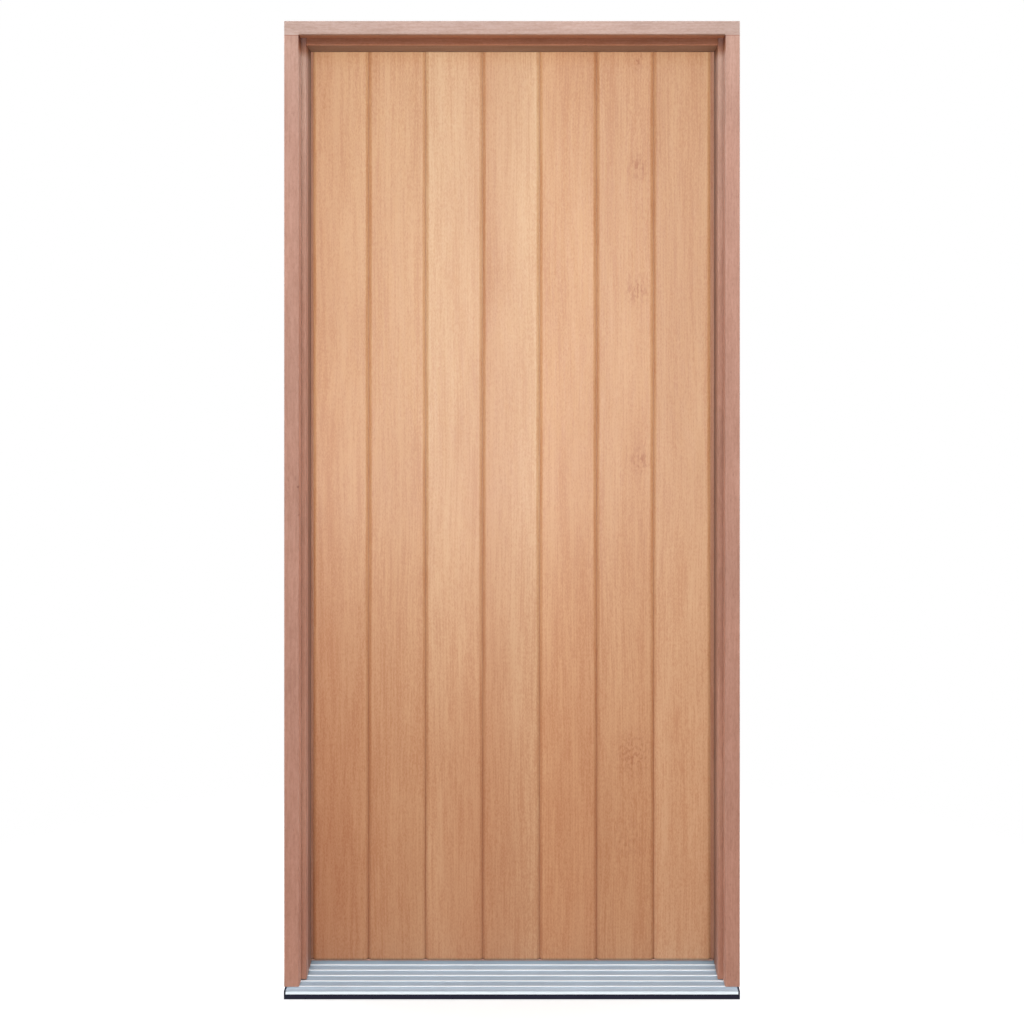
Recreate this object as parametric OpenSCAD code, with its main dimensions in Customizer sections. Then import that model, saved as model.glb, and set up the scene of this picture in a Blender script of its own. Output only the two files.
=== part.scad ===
// Prehung plank door: a V-jointed board leaf on three butt hinges in a double-rabbeted frame on a sill.
// X runs to the right seen from outside, Y runs inwards from the frame's outside face, Z runs up.
// The origin is on the underside of the sill, at mid width, below the frame's outside face.

/* [Leaf] */
// Width of the leaf
leaf_w = 914; // [760:1:1070]
// Height of the leaf
leaf_h = 2032; // [1900:1:2300]
// Thickness of the leaf
leaf_t = 44.5; // [43:0.5:52]
// Gap between the leaf and the frame at the sides and the top
leaf_gap = 3; // [2.5:0.25:4]
// Width of one board with its joint
board_pitch = 127; // [100:1:160]
// Narrowest board that may be left at the hinge side
board_narrowest = 50; // [40:1:70]
// Thickness of a board
board_t = 10; // [9.5:0.25:12]
// Width of one chamfer of the V joint
chamfer_w = 6.25; // [4:0.25:8]
// Depth of the V joint's chamfers
chamfer_d = 3.5; // [2.5:0.25:4]
// Width of the open joint line at the bottom of the V
joint_gap = 1.5; // [1:0.1:2]
// Length of a board's tongue
tongue_l = 6.5; // [5:0.25:8]
// Thickness of a board's tongue
tongue_t = 2.6; // [2:0.1:3]
// Distance from a board's face to its tongue
tongue_d = 5; // [4.75:0.25:5.5]
// Play of the tongue in its groove
tongue_play = 0.15; // [0.1:0.05:0.2]
// Width of the edge strip at the hinges
hinge_edge_w = 12; // [11:0.5:20]
// Width of the edge strip at the latch side
latch_edge_w = 16; // [12:0.5:20]
// Chamfer along the outer corners of the edge strips
edge_chamfer = 1; // [0.5:0.25:2]
// Width of the stiles inside the leaf
stile_w = 60; // [45:1:90]
// Height of the top rail inside the leaf
top_rail_h = 100; // [60:1:160]
// Height of the bottom rail inside the leaf
bottom_rail_h = 160; // [80:1:240]

/* [Frame] */
// Thickness of the side jambs at the rabbets
jamb_t = 32; // [30:0.5:44]
// Depth of the frame from outside to inside
jamb_d = 133.5; // [125:0.5:160]
// Thickness of the head at the rabbets
head_t = 30; // [28:0.5:44]
// Height of the stop above the side jambs' rabbets
stop_t = 12; // [10:0.5:14]
// Height of the stop below the head's rabbets
head_stop_t = 15; // [11:0.5:17]
// Depth of the rabbet on the outside of the frame
front_rabbet = 25.5; // [15:0.5:35]
// Radius of the outer inside edge of the frame
arris_r = 3; // [1:0.5:4]
// Radius of the stop's outer edge
stop_r = 2; // [0.5:0.5:3]

/* [Seals] */
// Space between the stop and the closed leaf
seal_space = 6.5; // [5:0.25:9]
// How far a seal's bulb stands out past the stop
seal_proud = 0.5; // [0:0.25:3]
// Clear gap between a seal and what it closes on
seal_clear = 0.3; // [0.3:0.05:0.5]
// Width of the saw kerf that holds a seal
kerf_w = 2.5; // [2:0.1:3]
// Depth of the saw kerf
kerf_d = 10; // [8:0.5:13]
// Side play of a seal's stem in its kerf
kerf_play = 0.25; // [0.1:0.05:0.4]
// Number of barbs on a seal's stem
barb_count = 2; // [1:1:3]
// Distance between two barbs
barb_pitch = 3; // [2:0.25:3.5]
// Length of a barb along the stem
barb_l = 1.6; // [1:0.1:1.8]
// Side play of a barb in its kerf
barb_play = 0.05; // [0.02:0.01:0.08]
// Height of the sweep below the leaf, with its clear gap
sweep_h = 3.5; // [3:0.25:6]
// Thickness of the sweep's web and fins
sweep_t = 1.3; // [1:0.1:1.8]
// How far the sweep stays inside the leaf's ends and the cap's back
sweep_inset = 2; // [1:0.5:4]

/* [Sill] */
// How far the sill's nose stands out in front of the frame
nose_out = 15; // [10:0.5:30]
// Height of the rib crests below the frame's outside face
crest_h = 21; // [19:0.5:26]
// Rise of the sill for each millimetre inwards
sill_rise = 0.19; // [0.1:0.01:0.22]
// Height of the base at the nose
base_front_h = 11; // [8:0.5:12]
// Height of the shelf below the cap
shelf_h = 26; // [22:0.5:28]
// Thickness of the deck's wall
deck_t = 1.8; // [1.4:0.1:2.4]
// Smooth strip left between the last rib and the leaf's outside face
rib_back = 8; // [4:0.5:12]
// Distance between two ribs
rib_pitch = 19; // [12:0.5:22]
// Distance from the frame's outside face to the first rib
rib_first = 2.5; // [1:0.5:6]
// Width of a rib
rib_w = 5; // [3:0.25:8]
// Height of a rib
rib_h = 1.7; // [0.8:0.1:2.2]
// Radius of the deck's nose
nose_r = 2; // [0.5:0.25:3]
// How far the ends of the base stay inside the frame's sides
base_inset = 2; // [0:0.5:5]
// Thickness of the dams at the ends of the base
dam_t = 3.4; // [2:0.2:6]
// Thickness of the cap below the leaf
cap_t = 12; // [11:0.5:16]
// Radius of the cap's upper edges
cap_r = 2.5; // [1:0.5:4]
// How far the cap stays behind the inside face of the frame
cap_setback = 1.5; // [0:0.5:4]
// How far the deck runs on level below the leaf
deck_under_leaf = 11; // [8:0.5:14]
// Play round the cap and at the ends of the deck
sill_play = 0.2; // [0.1:0.05:0.4]

/* [Hinges] */
// Height of a hinge
hinge_h = 101.6; // [89:0.1:115]
// Thickness of a hinge plate
plate_t = 2.5; // [2:0.1:3]
// How far a hinge plate reaches into the edge of the leaf
plate_reach = 38; // [34:0.5:39]
// Radius of a hinge plate's corners
plate_r = 15.9; // [6:0.1:17]
// Distance of the pin's axis from the inside face of the leaf
pin_out = 8; // [7.75:0.25:12]
// Radius of a knuckle
knuckle_r = 7; // [6:0.25:7.5]
// Number of knuckles in a hinge
knuckle_count = 5; // [3:2:7]
// Gap between two knuckles
knuckle_gap = 0.3; // [0.2:0.05:0.5]
// Gap between a knuckle and the plate across from it
knuckle_relief = 0.4; // [0.3:0.05:0.8]
// Radius of a hinge pin
pin_r = 3.5; // [3:0.1:4]
// Running clearance of the pin
pin_play = 0.05; // [0.02:0.01:0.08]
// Radius of a pin's head
pin_head_r = 5.8; // [5:0.1:6]
// Height of a pin's head
pin_head_h = 3.5; // [2:0.1:5]
// Gap round a plate in its recess
recess_play = 0.15; // [0.1:0.05:0.3]
// Distance from the top of the leaf to the top hinge
hinge_top = 178; // [120:1:250]
// Distance from the bottom of the leaf to the bottom hinge
hinge_bottom = 279; // [150:1:320]

/* [Screws] */
// Head diameter of a hinge screw
hinge_head = 9; // [7:0.1:9.4]
// Shank diameter of a hinge screw
hinge_shank = 4.6; // [3.5:0.1:5]
// Length of a hinge screw
hinge_screw_l = 26; // [18:1:28]
// Distance from the ends of a hinge plate to its outer screws
hinge_screw_end = 13.3; // [11:0.1:16]
// Distance between the two rows of hinge screws
hinge_row_gap = 11; // [8:0.5:12]
// Head diameter of a frame screw
frame_head = 10; // [8:0.5:11]
// Shank diameter of a frame screw
frame_shank = 5; // [4:0.1:6]
// Height of the plain rim round a screw's head
screw_rim = 0.2; // [0.1:0.05:0.25]
// Distance of the outer head screws from the frame's outside face
head_screw_in = 18; // [12:1:30]
// Length of the screws through the head
head_screw_l = 95; // [70:1:120]
// Length of the screws through the sill
sill_screw_l = 70; // [50:1:100]
// Length of the screws through the cap
cap_screw_l = 28; // [20:1:32]
// Number of screws through the cap
cap_screw_count = 5; // [3:1:7]
// Distance from the ends of the cap to its outer screws
cap_screw_end = 60; // [30:1:120]
// How deep the frame screws' heads lie below the surface
screw_sink = 0.5; // [0.3:0.1:1]
// Depth of the counterbores below the sill
sill_bore_d = 4; // [2:0.5:6]
// Clearance of a screw in its hole
screw_play = 0.1; // [0.05:0.05:0.2]

/* [Hidden] */
$fn = 48;
// Overshoot of a cutting solid past the face that it opens
over = 1;
// Height of a screw's pointed tip over its shank's radius
tip_ratio = 2.5;
// Rounding steps of an edge, a bulb or a rib
edge_steps = 6;
bulb_steps = 16;
rib_steps = 8;

rabbet_x = leaf_w / 2 + leaf_gap;
frame_x = rabbet_x + jamb_t;
stop_x = rabbet_x - stop_t;
leaf_y = jamb_d - leaf_t;
stop_back = leaf_y - seal_space;

deck_back = leaf_y + deck_under_leaf;
cap_top = shelf_h + cap_t;
leaf_z = cap_top + sweep_h;
leaf_top = leaf_z + leaf_h;
head_z = leaf_top + leaf_gap;
frame_top = head_z + head_t;
head_stop_z = head_z - head_stop_t;

zone_left = -leaf_w / 2 + hinge_edge_w;
zone_right = leaf_w / 2 - latch_edge_w;
boards = floor((zone_right - zone_left - board_narrowest) / board_pitch) + 1;
half_gap = joint_gap / 2;
stile_left = zone_left - half_gap;
stile_right = zone_right + half_gap;
core_t = leaf_t - 2 * board_t;
groove_l = tongue_l - joint_gap + 2 * tongue_play;

base_x = frame_x - base_inset;
deck_x = base_x - dam_t - sill_play;
rib_count = floor((leaf_y - rib_back - rib_first) / rib_pitch) + 1;
cap_front = deck_back + sill_play;
cap_back = jamb_d - cap_setback;
cap_x = rabbet_x - sill_play;
cap_mid = (cap_front + cap_back) / 2;

pin_x = -(leaf_w + leaf_gap) / 2;
pin_y = jamb_d + pin_out;
knuckle_h = (hinge_h - (knuckle_count - 1) * knuckle_gap) / knuckle_count;
plate_front = jamb_d - plate_reach;
hinge_screw_pitch = (hinge_h - 2 * hinge_screw_end) / 3;
row_mid = leaf_y + leaf_t / 2;
hinge_names = ["top", "middle", "bottom"];
hinge_high = leaf_top - hinge_top - hinge_h / 2;
hinge_low = leaf_z + hinge_bottom + hinge_h / 2;
hinge_zs = [hinge_high, (hinge_high + hinge_low) / 2, hinge_low];

kerf_x = rabbet_x - stop_t / 2;
kerf_z = head_z - head_stop_t / 2;
stem_r = kerf_w / 2 - kerf_play;
barb_r = kerf_w / 2 - barb_play;
bulb_back = leaf_y - seal_clear;
bulb_in = stop_x - seal_proud;
bulb_out = rabbet_x - 2 * seal_clear;
bulb_low = head_stop_z - seal_proud;
bulb_high = head_z - 2 * seal_clear;
seal_foot = cap_top + seal_clear;

jamb_mid_x = rabbet_x + jamb_t / 2;
head_screw_ys = [head_screw_in, row_mid];
sill_screw_ys = [rib_first + 1.5 * rib_pitch, (deck_back + jamb_d) / 2];

frame_wood = [0.75, 0.57, 0.50];
leaf_wood = [0.85, 0.67, 0.54];
core_wood = [0.80, 0.70, 0.55];
aluminium = [0.78, 0.82, 0.86];
base_black = [0.16, 0.17, 0.23];
seal_brown = [0.32, 0.22, 0.17];
hinge_steel = [0.70, 0.70, 0.68];

function arc(x, y, r, from, to, n = edge_steps) =
    [for (i = [0:n]) [x + r * cos(from + (to - from) * i / n), y + r * sin(from + (to - from) * i / n)]];
function crest(y) = crest_h + sill_rise * min(y, leaf_y);
function tread(y) = crest(y) - rib_h;
function below_deck(y) = tread(y) - deck_t;
function board_right(i) = zone_right - (boards - i) * board_pitch;
function board_left(i) = i == 1 ? zone_left : board_right(i - 1);
function knuckle_z(k) = -hinge_h / 2 + k * (knuckle_h + knuckle_gap);

// Extrudes an outline drawn in Y and Z to both sides of mid width
module across(half_length) {
    rotate([90, 0, 90])
        linear_extrude(2 * half_length, center = true)
            children();
}

// Extrudes an outline drawn in X and Y upwards between two heights
module upright(low, high) {
    translate([0, 0, low])
        linear_extrude(high - low)
            children();
}

// Countersunk screw that points down from its head's flat face, grown all round to make its hole
module screw(head, shank, length, grow = 0) {
    head_r = head / 2 + grow;
    shank_r = shank / 2 + grow;
    tip = shank_r * tip_ratio;
    rotate_extrude()
        polygon([
            [0, grow > 0 ? over : 0],
            [head_r, grow > 0 ? over : 0],
            [head_r, -screw_rim],
            [shank_r, -screw_rim - (head - shank) / 2],
            [shank_r, -length + tip - grow],
            [0, -length - grow]
        ]);
}

// Screws down through the head into the jambs
module head_joint_screws(grow = 0) {
    for (side = [-1, 1], y = head_screw_ys)
        translate([side * jamb_mid_x, y, frame_top - screw_sink])
            screw(frame_head, frame_shank, head_screw_l, grow);
}

// Screws up through the sill into the jambs
module sill_joint_screws(grow = 0) {
    for (side = [-1, 1], y = sill_screw_ys)
        translate([side * jamb_mid_x, y, sill_bore_d])
            rotate([180, 0, 0])
                screw(frame_head, frame_shank, sill_screw_l, grow);
}

// Row of screws down through the cap into the base
module cap_joint_screws(grow = 0) {
    span = 2 * (cap_x - cap_screw_end);
    for (i = [0:cap_screw_count - 1])
        translate([span * (i / (cap_screw_count - 1) - 0.5), cap_mid, cap_top - screw_sink])
            screw(frame_head, frame_shank, cap_screw_l, grow);
}

// Screws of one side of every hinge, in two staggered rows
module hinge_side_screws(face_x, turn, grow = 0) {
    for (z = hinge_zs, k = [0:3])
        translate([face_x, row_mid + hinge_row_gap * (k % 2 - 0.5), z + hinge_screw_pitch * (k - 1.5)])
            rotate([0, turn, 0])
                screw(hinge_head, hinge_shank, hinge_screw_l, grow);
}

module jamb_screws(grow = 0) {
    hinge_side_screws(-rabbet_x, 90, grow);
}

module leaf_screws(grow = 0) {
    hinge_side_screws(-leaf_w / 2, -90, grow);
}

// Outline of a hinge plate in Y and Z with two round corners, up to a given depth
module plate_outline(back, grow = 0) {
    front = plate_front - grow;
    half = hinge_h / 2 + grow;
    r = plate_r + grow;
    translate([front + r, -half])
        square([back - front - r, 2 * half]);
    translate([front, -half + r])
        square([r, 2 * (half - r)]);
    for (side = [-1, 1])
        translate([front + r, side * (half - r)])
            circle(r);
}

// Recesses of all hinge plates in one face
module plate_recesses(face_x, inward) {
    for (z = hinge_zs)
        translate([face_x + inward * plate_t / 2 - inward * over / 2, 0, z])
            across((plate_t + over) / 2)
                plate_outline(jamb_d + over, recess_play);
}

module knuckle(k, r, extra = 0) {
    translate([pin_x, pin_y, knuckle_z(k) - extra])
        cylinder(h = knuckle_h + 2 * extra, r = r);
}

// One half of a hinge: a plate with every second knuckle, cut back beside the other half's knuckles
module hinge_half(face_x, inward, first) {
    difference() {
        union() {
            translate([face_x + inward * plate_t / 2, 0, 0])
                across(plate_t / 2)
                    plate_outline(pin_y);
            for (k = [first:2:knuckle_count - 1])
                knuckle(k, knuckle_r);
        }
        for (k = [1 - first:2:knuckle_count - 1])
            knuckle(k, knuckle_r + knuckle_relief, knuckle_gap);
        translate([pin_x, pin_y, -hinge_h / 2 - over])
            cylinder(h = hinge_h + 2 * over, r = pin_r + pin_play);
    }
}

module hinge_jamb_plate(i) {
    color(hinge_steel)
        difference() {
            translate([0, 0, hinge_zs[i]])
                hinge_half(-rabbet_x, -1, 0);
            jamb_screws(screw_play);
        }
}

module hinge_leaf_plate(i) {
    color(hinge_steel)
        difference() {
            translate([0, 0, hinge_zs[i]])
                hinge_half(-leaf_w / 2, 1, 1);
            leaf_screws(screw_play);
        }
}

module hinge_pin(i) {
    half = hinge_h / 2;
    dome = pin_head_h / 2;
    color(hinge_steel)
        translate([pin_x, pin_y, hinge_zs[i]])
            rotate_extrude()
                polygon([
                    [0, -half - pin_head_h],
                    [pin_head_r - dome, -half - pin_head_h],
                    [pin_head_r, -half - dome],
                    [pin_head_r, -half],
                    [pin_r, -half],
                    [pin_r, half],
                    [pin_head_r, half],
                    [pin_head_r, half + dome],
                    [pin_head_r - dome, half + pin_head_h],
                    [0, half + pin_head_h]
                ]);
}

// Section of the right-hand jamb: an outside rabbet, the stop, and the rabbet for the leaf
module jamb_section() {
    difference() {
        polygon(concat(
            [[frame_x, 0], [frame_x, jamb_d], [rabbet_x, jamb_d], [rabbet_x, stop_back], [stop_x, stop_back]],
            arc(stop_x + stop_r, front_rabbet + stop_r, stop_r, 180, 270),
            [[rabbet_x, front_rabbet]],
            arc(rabbet_x + arris_r, arris_r, arris_r, 180, 270)
        ));
        translate([kerf_x - kerf_w / 2, stop_back - kerf_d])
            square([kerf_w, kerf_d + over]);
    }
}

// Everything that the sill takes up below the jambs
module sill_space() {
    across(frame_x + over)
        polygon([
            [-over, -over],
            [-over, crest(-over)],
            [leaf_y, crest(leaf_y)],
            [deck_back, crest(deck_back)],
            [deck_back, shelf_h],
            [jamb_d + over, shelf_h],
            [jamb_d + over, -over]
        ]);
}

module jamb() {
    difference() {
        upright(0, head_z)
            jamb_section();
        sill_space();
        head_joint_screws(screw_play);
        sill_joint_screws(screw_play);
    }
}

module hinge_jamb() {
    color(frame_wood)
        difference() {
            mirror([1, 0, 0])
                jamb();
            plate_recesses(-rabbet_x, -1);
            jamb_screws(screw_play);
        }
}

module latch_jamb() {
    color(frame_wood)
        jamb();
}

module head_jamb() {
    color(frame_wood)
        difference() {
            union() {
                across(frame_x)
                    translate([0, head_z])
                        square([jamb_d, head_t]);
                across(stop_x)
                    polygon(concat(
                        [[front_rabbet, head_z + over], [stop_back, head_z + over], [stop_back, head_stop_z]],
                        arc(front_rabbet + stop_r, head_stop_z + stop_r, stop_r, 270, 180)
                    ));
            }
            across(rabbet_x)
                polygon(concat(
                    [[-over, head_z - over], [-over, head_z + arris_r]],
                    arc(arris_r, head_z + arris_r, arris_r, 180, 270),
                    [[arris_r, head_z - over]]
                ));
            across(stop_x + over)
                translate([stop_back - kerf_d, kerf_z - kerf_w / 2])
                    square([kerf_d + over, kerf_w]);
            head_joint_screws(screw_play);
        }
}

// Half of an oval bulb on the stop, between two places along it
module bulb(from, to) {
    polygon([for (i = [0:bulb_steps])
        [(from + to) / 2 + (to - from) / 2 * cos(180 * i / bulb_steps),
         stop_back + (bulb_back - stop_back) * sin(180 * i / bulb_steps)]]);
}

// Edge of a seal's stem on one side, from the stop's face down into the kerf
function stem_edge(side) = concat(
    [[side * stem_r, over]],
    [for (k = [1:barb_count]) each [
        [side * stem_r, -k * barb_pitch],
        [side * barb_r, -k * barb_pitch],
        [side * stem_r, -k * barb_pitch - barb_l]
    ]],
    [[side * stem_r, -kerf_d + kerf_play]]
);
function turned(points) = [for (i = [len(points) - 1:-1:0]) points[i]];

// Barbed stem that holds a seal in its kerf
module stem() {
    polygon(concat(stem_edge(-1), turned(stem_edge(1))));
}

// Section of a side seal: the bulb and the stem in the kerf
module side_seal_section() {
    bulb(bulb_in, bulb_out);
    translate([kerf_x, stop_back])
        stem();
}

module side_seal() {
    color(seal_brown)
        upright(seal_foot, bulb_low - seal_clear)
            side_seal_section();
}

module hinge_side_seal() {
    mirror([1, 0, 0])
        side_seal();
}

module latch_side_seal() {
    side_seal();
}

module head_seal() {
    color(seal_brown) {
        across(bulb_out)
            mirror([1, -1])
                bulb(bulb_low, bulb_high);
        across(stop_x - seal_clear)
            translate([stop_back, kerf_z])
                mirror([1, -1])
                    stem();
    }
}

// Section of the base without its end dams
module base_section() {
    polygon([
        [-nose_out + edge_chamfer, 0],
        [-nose_out, edge_chamfer],
        [-nose_out, base_front_h],
        [-nose_out + deck_t, base_front_h],
        [-nose_out + deck_t, below_deck(-nose_out + deck_t)],
        [leaf_y, below_deck(leaf_y)],
        [deck_back - deck_t, below_deck(deck_back)],
        [deck_back - deck_t, shelf_h],
        [jamb_d, shelf_h],
        [jamb_d, 0]
    ]);
}

// Section of an end dam, level with the crests of the ribs
module dam_section() {
    polygon([
        [-nose_out + edge_chamfer, 0],
        [-nose_out, edge_chamfer],
        [-nose_out, crest(-nose_out)],
        [leaf_y, crest(leaf_y)],
        [deck_back, crest(deck_back)],
        [deck_back, 0]
    ]);
}

module sill_base() {
    color(base_black)
        difference() {
            union() {
                across(base_x)
                    base_section();
                for (side = [-1, 1])
                    translate([side * (base_x - dam_t / 2), 0, 0])
                        across(dam_t / 2)
                            dam_section();
            }
            sill_joint_screws(screw_play);
            for (side = [-1, 1], y = sill_screw_ys)
                translate([side * jamb_mid_x, y, -over])
                    cylinder(h = sill_bore_d + over, d = frame_head + 2 * screw_play);
            cap_joint_screws(screw_play);
        }
}

// Upper edge of one rounded rib
function rib_edge(i) =
    [for (k = [0:rib_steps]) let (
        y = rib_first + i * rib_pitch - rib_w / 2 * cos(180 * k / rib_steps))
        [y, tread(y) + rib_h * sin(180 * k / rib_steps)]];

// Section of the deck: a front lip, a smooth nose, the ribs, and a level back with a flange down to the shelf
module deck_section() {
    nose_top = crest(-nose_out);
    polygon(concat(
        [[-nose_out, base_front_h]],
        arc(-nose_out + nose_r, nose_top - nose_r, nose_r, 180, 90),
        [for (i = [0:rib_count - 1]) each rib_edge(i)],
        [
            [leaf_y, tread(leaf_y)],
            [deck_back, tread(deck_back)],
            [deck_back, shelf_h],
            [deck_back - deck_t, shelf_h],
            [deck_back - deck_t, below_deck(deck_back)],
            [leaf_y, below_deck(leaf_y)],
            [-nose_out + deck_t, below_deck(-nose_out + deck_t)],
            [-nose_out + deck_t, base_front_h]
        ]
    ));
}

module sill_deck() {
    color(aluminium)
        difference() {
            across(deck_x)
                deck_section();
            sill_joint_screws(screw_play);
        }
}

module sill_cap() {
    color(frame_wood)
        difference() {
            across(cap_x)
                polygon(concat(
                    [[cap_front, shelf_h]],
                    arc(cap_front + cap_r, cap_top - cap_r, cap_r, 180, 90),
                    arc(cap_back - cap_r, cap_top - cap_r, cap_r, 90, 0),
                    [[cap_back, shelf_h]]
                ));
            cap_joint_screws(screw_play);
        }
}

module head_screws() {
    color(hinge_steel)
        head_joint_screws();
}

module sill_screws() {
    color(hinge_steel)
        sill_joint_screws();
}

module cap_screws() {
    color(hinge_steel)
        cap_joint_screws();
}

module hinge_jamb_screws() {
    color(hinge_steel)
        jamb_screws();
}

module hinge_leaf_screws() {
    color(hinge_steel)
        leaf_screws();
}

// Section of one outside board, with a groove on its left and a tongue on its right
module board_section(i) {
    left = board_left(i) + half_gap;
    right = board_right(i) - half_gap;
    groove_near = tongue_d - tongue_play;
    groove_far = tongue_d + tongue_t + tongue_play;
    translate([0, leaf_y])
        polygon([
            [left + chamfer_w, 0],
            [right - chamfer_w, 0],
            [right, chamfer_d],
            [right, tongue_d],
            [right + tongue_l, tongue_d],
            [right + tongue_l, tongue_d + tongue_t],
            [right, tongue_d + tongue_t],
            [right, board_t],
            [left, board_t],
            [left, groove_far],
            [left + groove_l, groove_far],
            [left + groove_l, groove_near],
            [left, groove_near],
            [left, chamfer_d]
        ]);
}

// Turns what is at the outside face of the leaf over to its inside face
module to_back() {
    translate([0, 2 * leaf_y + leaf_t, 0])
        mirror([0, 1, 0])
            children();
}

module front_board(i) {
    color(leaf_wood)
        upright(leaf_z, leaf_top)
            board_section(i);
}

module back_board(i) {
    color(leaf_wood)
        to_back()
            upright(leaf_z, leaf_top)
                board_section(i);
}

// Edge strip as a rectangle with a small chamfer outside and a V chamfer inside
module strip_section(outer, inner) {
    way = outer < inner ? 1 : -1;
    polygon([
        [outer, leaf_y + edge_chamfer],
        [outer + way * edge_chamfer, leaf_y],
        [inner - way * chamfer_w, leaf_y],
        [inner, leaf_y + chamfer_d],
        [inner, jamb_d - chamfer_d],
        [inner - way * chamfer_w, jamb_d],
        [outer + way * edge_chamfer, jamb_d],
        [outer, jamb_d - edge_chamfer]
    ]);
}

module hinge_edge_strip() {
    inner = zone_left - half_gap;
    color(leaf_wood)
        difference() {
            upright(leaf_z, leaf_top) {
                strip_section(-leaf_w / 2, inner);
                for (depth = [tongue_d, leaf_t - tongue_d - tongue_t])
                    translate([inner - over, leaf_y + depth])
                        square([tongue_l + over, tongue_t]);
            }
            plate_recesses(-leaf_w / 2, 1);
            leaf_screws(screw_play);
        }
}

module latch_edge_strip() {
    inner = zone_right + half_gap;
    color(leaf_wood)
        upright(leaf_z, leaf_top)
            difference() {
                strip_section(leaf_w / 2, inner);
                for (depth = [tongue_d, leaf_t - tongue_d - tongue_t])
                    translate([inner - over, leaf_y + depth - tongue_play])
                        square([groove_l + over, tongue_t + 2 * tongue_play]);
            }
}

// Block of the leaf's inner frame between two places across and two heights
module core_block(left, right, low, high) {
    color(core_wood)
        translate([left, leaf_y + board_t, low])
            cube([right - left, core_t, high - low]);
}

module hinge_stile() {
    difference() {
        core_block(stile_left, stile_left + stile_w, leaf_z, leaf_top);
        leaf_screws(screw_play);
    }
}

module latch_stile() {
    core_block(stile_right - stile_w, stile_right, leaf_z, leaf_top);
}

module top_rail() {
    core_block(stile_left + stile_w, stile_right - stile_w, leaf_top - top_rail_h, leaf_top);
}

module bottom_rail() {
    core_block(stile_left + stile_w, stile_right - stile_w, leaf_z, leaf_z + bottom_rail_h);
}

module core_infill() {
    core_block(stile_left + stile_w, stile_right - stile_w, leaf_z + bottom_rail_h, leaf_top - top_rail_h);
}

// Sweep below the leaf: a flat web with three fins over the cap
module door_sweep() {
    front = cap_front + cap_r;
    back = cap_back - cap_r - sweep_inset;
    color(seal_brown)
        across(leaf_w / 2 - sweep_inset) {
            translate([front, leaf_z - sweep_t])
                square([back - front, sweep_t]);
            for (y = [front, (front + back - sweep_t) / 2, back - sweep_t])
                translate([y, cap_top + seal_clear])
                    square([sweep_t, sweep_h - seal_clear]);
        }
}

hinge_jamb();
latch_jamb();
head_jamb();
sill_base();
sill_deck();
sill_cap();
hinge_side_seal();
latch_side_seal();
head_seal();
head_screws();
sill_screws();
cap_screws();
for (i = [0:2]) {
    hinge_jamb_plate(i);
    hinge_leaf_plate(i);
    hinge_pin(i);
}
hinge_jamb_screws();
hinge_leaf_screws();
hinge_stile();
latch_stile();
top_rail();
bottom_rail();
core_infill();
hinge_edge_strip();
latch_edge_strip();
for (i = [1:boards]) {
    front_board(i);
    back_board(i);
}
door_sweep();
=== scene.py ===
import math

import bmesh
import bpy
import numpy as np
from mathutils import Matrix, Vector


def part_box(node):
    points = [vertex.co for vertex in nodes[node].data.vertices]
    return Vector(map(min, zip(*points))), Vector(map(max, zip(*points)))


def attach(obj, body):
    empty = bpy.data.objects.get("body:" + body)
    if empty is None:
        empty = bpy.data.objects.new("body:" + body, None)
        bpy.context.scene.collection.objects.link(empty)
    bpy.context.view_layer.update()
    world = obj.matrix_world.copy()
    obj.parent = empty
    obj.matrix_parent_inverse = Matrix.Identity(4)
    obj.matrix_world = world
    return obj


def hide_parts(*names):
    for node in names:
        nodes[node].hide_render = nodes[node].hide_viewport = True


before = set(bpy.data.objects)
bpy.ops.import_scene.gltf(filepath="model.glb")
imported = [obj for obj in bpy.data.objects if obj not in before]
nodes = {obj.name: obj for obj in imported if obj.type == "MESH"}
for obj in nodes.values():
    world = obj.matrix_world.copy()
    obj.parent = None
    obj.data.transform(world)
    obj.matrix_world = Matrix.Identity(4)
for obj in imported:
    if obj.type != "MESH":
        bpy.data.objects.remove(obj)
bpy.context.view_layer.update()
scene = bpy.context.scene
print("door: frame loaded with", len(nodes), "nodes")

# Camera at the photograph's place and angle, level, with the horizon above the middle of the picture
eye = {
    "place": (0.0436, -2.8935, 1.2881),
    "focalPx": 1339.9,
    "levelPx": (532.2, 400.0),
    "picturePx": 1024.0,
    "sensorMm": 36.0,
}


def placeCamera(eye):
    data = bpy.data.cameras.new("eye")
    data.sensor_width = eye["sensorMm"]
    data.lens = eye["focalPx"] / eye["picturePx"] * eye["sensorMm"]
    data.shift_x = 0.5 - eye["levelPx"][0] / eye["picturePx"]
    data.shift_y = eye["levelPx"][1] / eye["picturePx"] - 0.5
    camera = bpy.data.objects.new("eye", data)
    camera.location = eye["place"]
    camera.rotation_euler = (math.pi / 2, 0, 0)
    scene.collection.objects.link(camera)
    scene.camera = camera


placeCamera(eye)
scene.view_settings.view_transform = "Standard"
print("door: camera placed")


# Node helpers: a node with its inputs set or linked, and the few joins that the finishes share
def addNode(tree, kind, inputs=None, **settings):
    made = tree.nodes.new("ShaderNode" + kind)
    for key, value in settings.items():
        setattr(made, key, value)
    for key, value in (inputs or {}).items():
        if isinstance(value, bpy.types.NodeSocket):
            tree.links.new(value, made.inputs[key])
        else:
            made.inputs[key].default_value = value
    return made


def calc(tree, operation, *terms):
    return addNode(tree, "Math", dict(enumerate(terms)), operation=operation).outputs[0]


def vector(tree, operation, *terms):
    return addNode(tree, "VectorMath", dict(enumerate(terms)), operation=operation)


def axisOf(tree, place, axis):
    return addNode(tree, "SeparateXYZ", {0: place}).outputs[axis]


def stretched(tree, point, scale):
    return addNode(tree, "Mapping", {0: point, "Scale": scale}).outputs[0]


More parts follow.
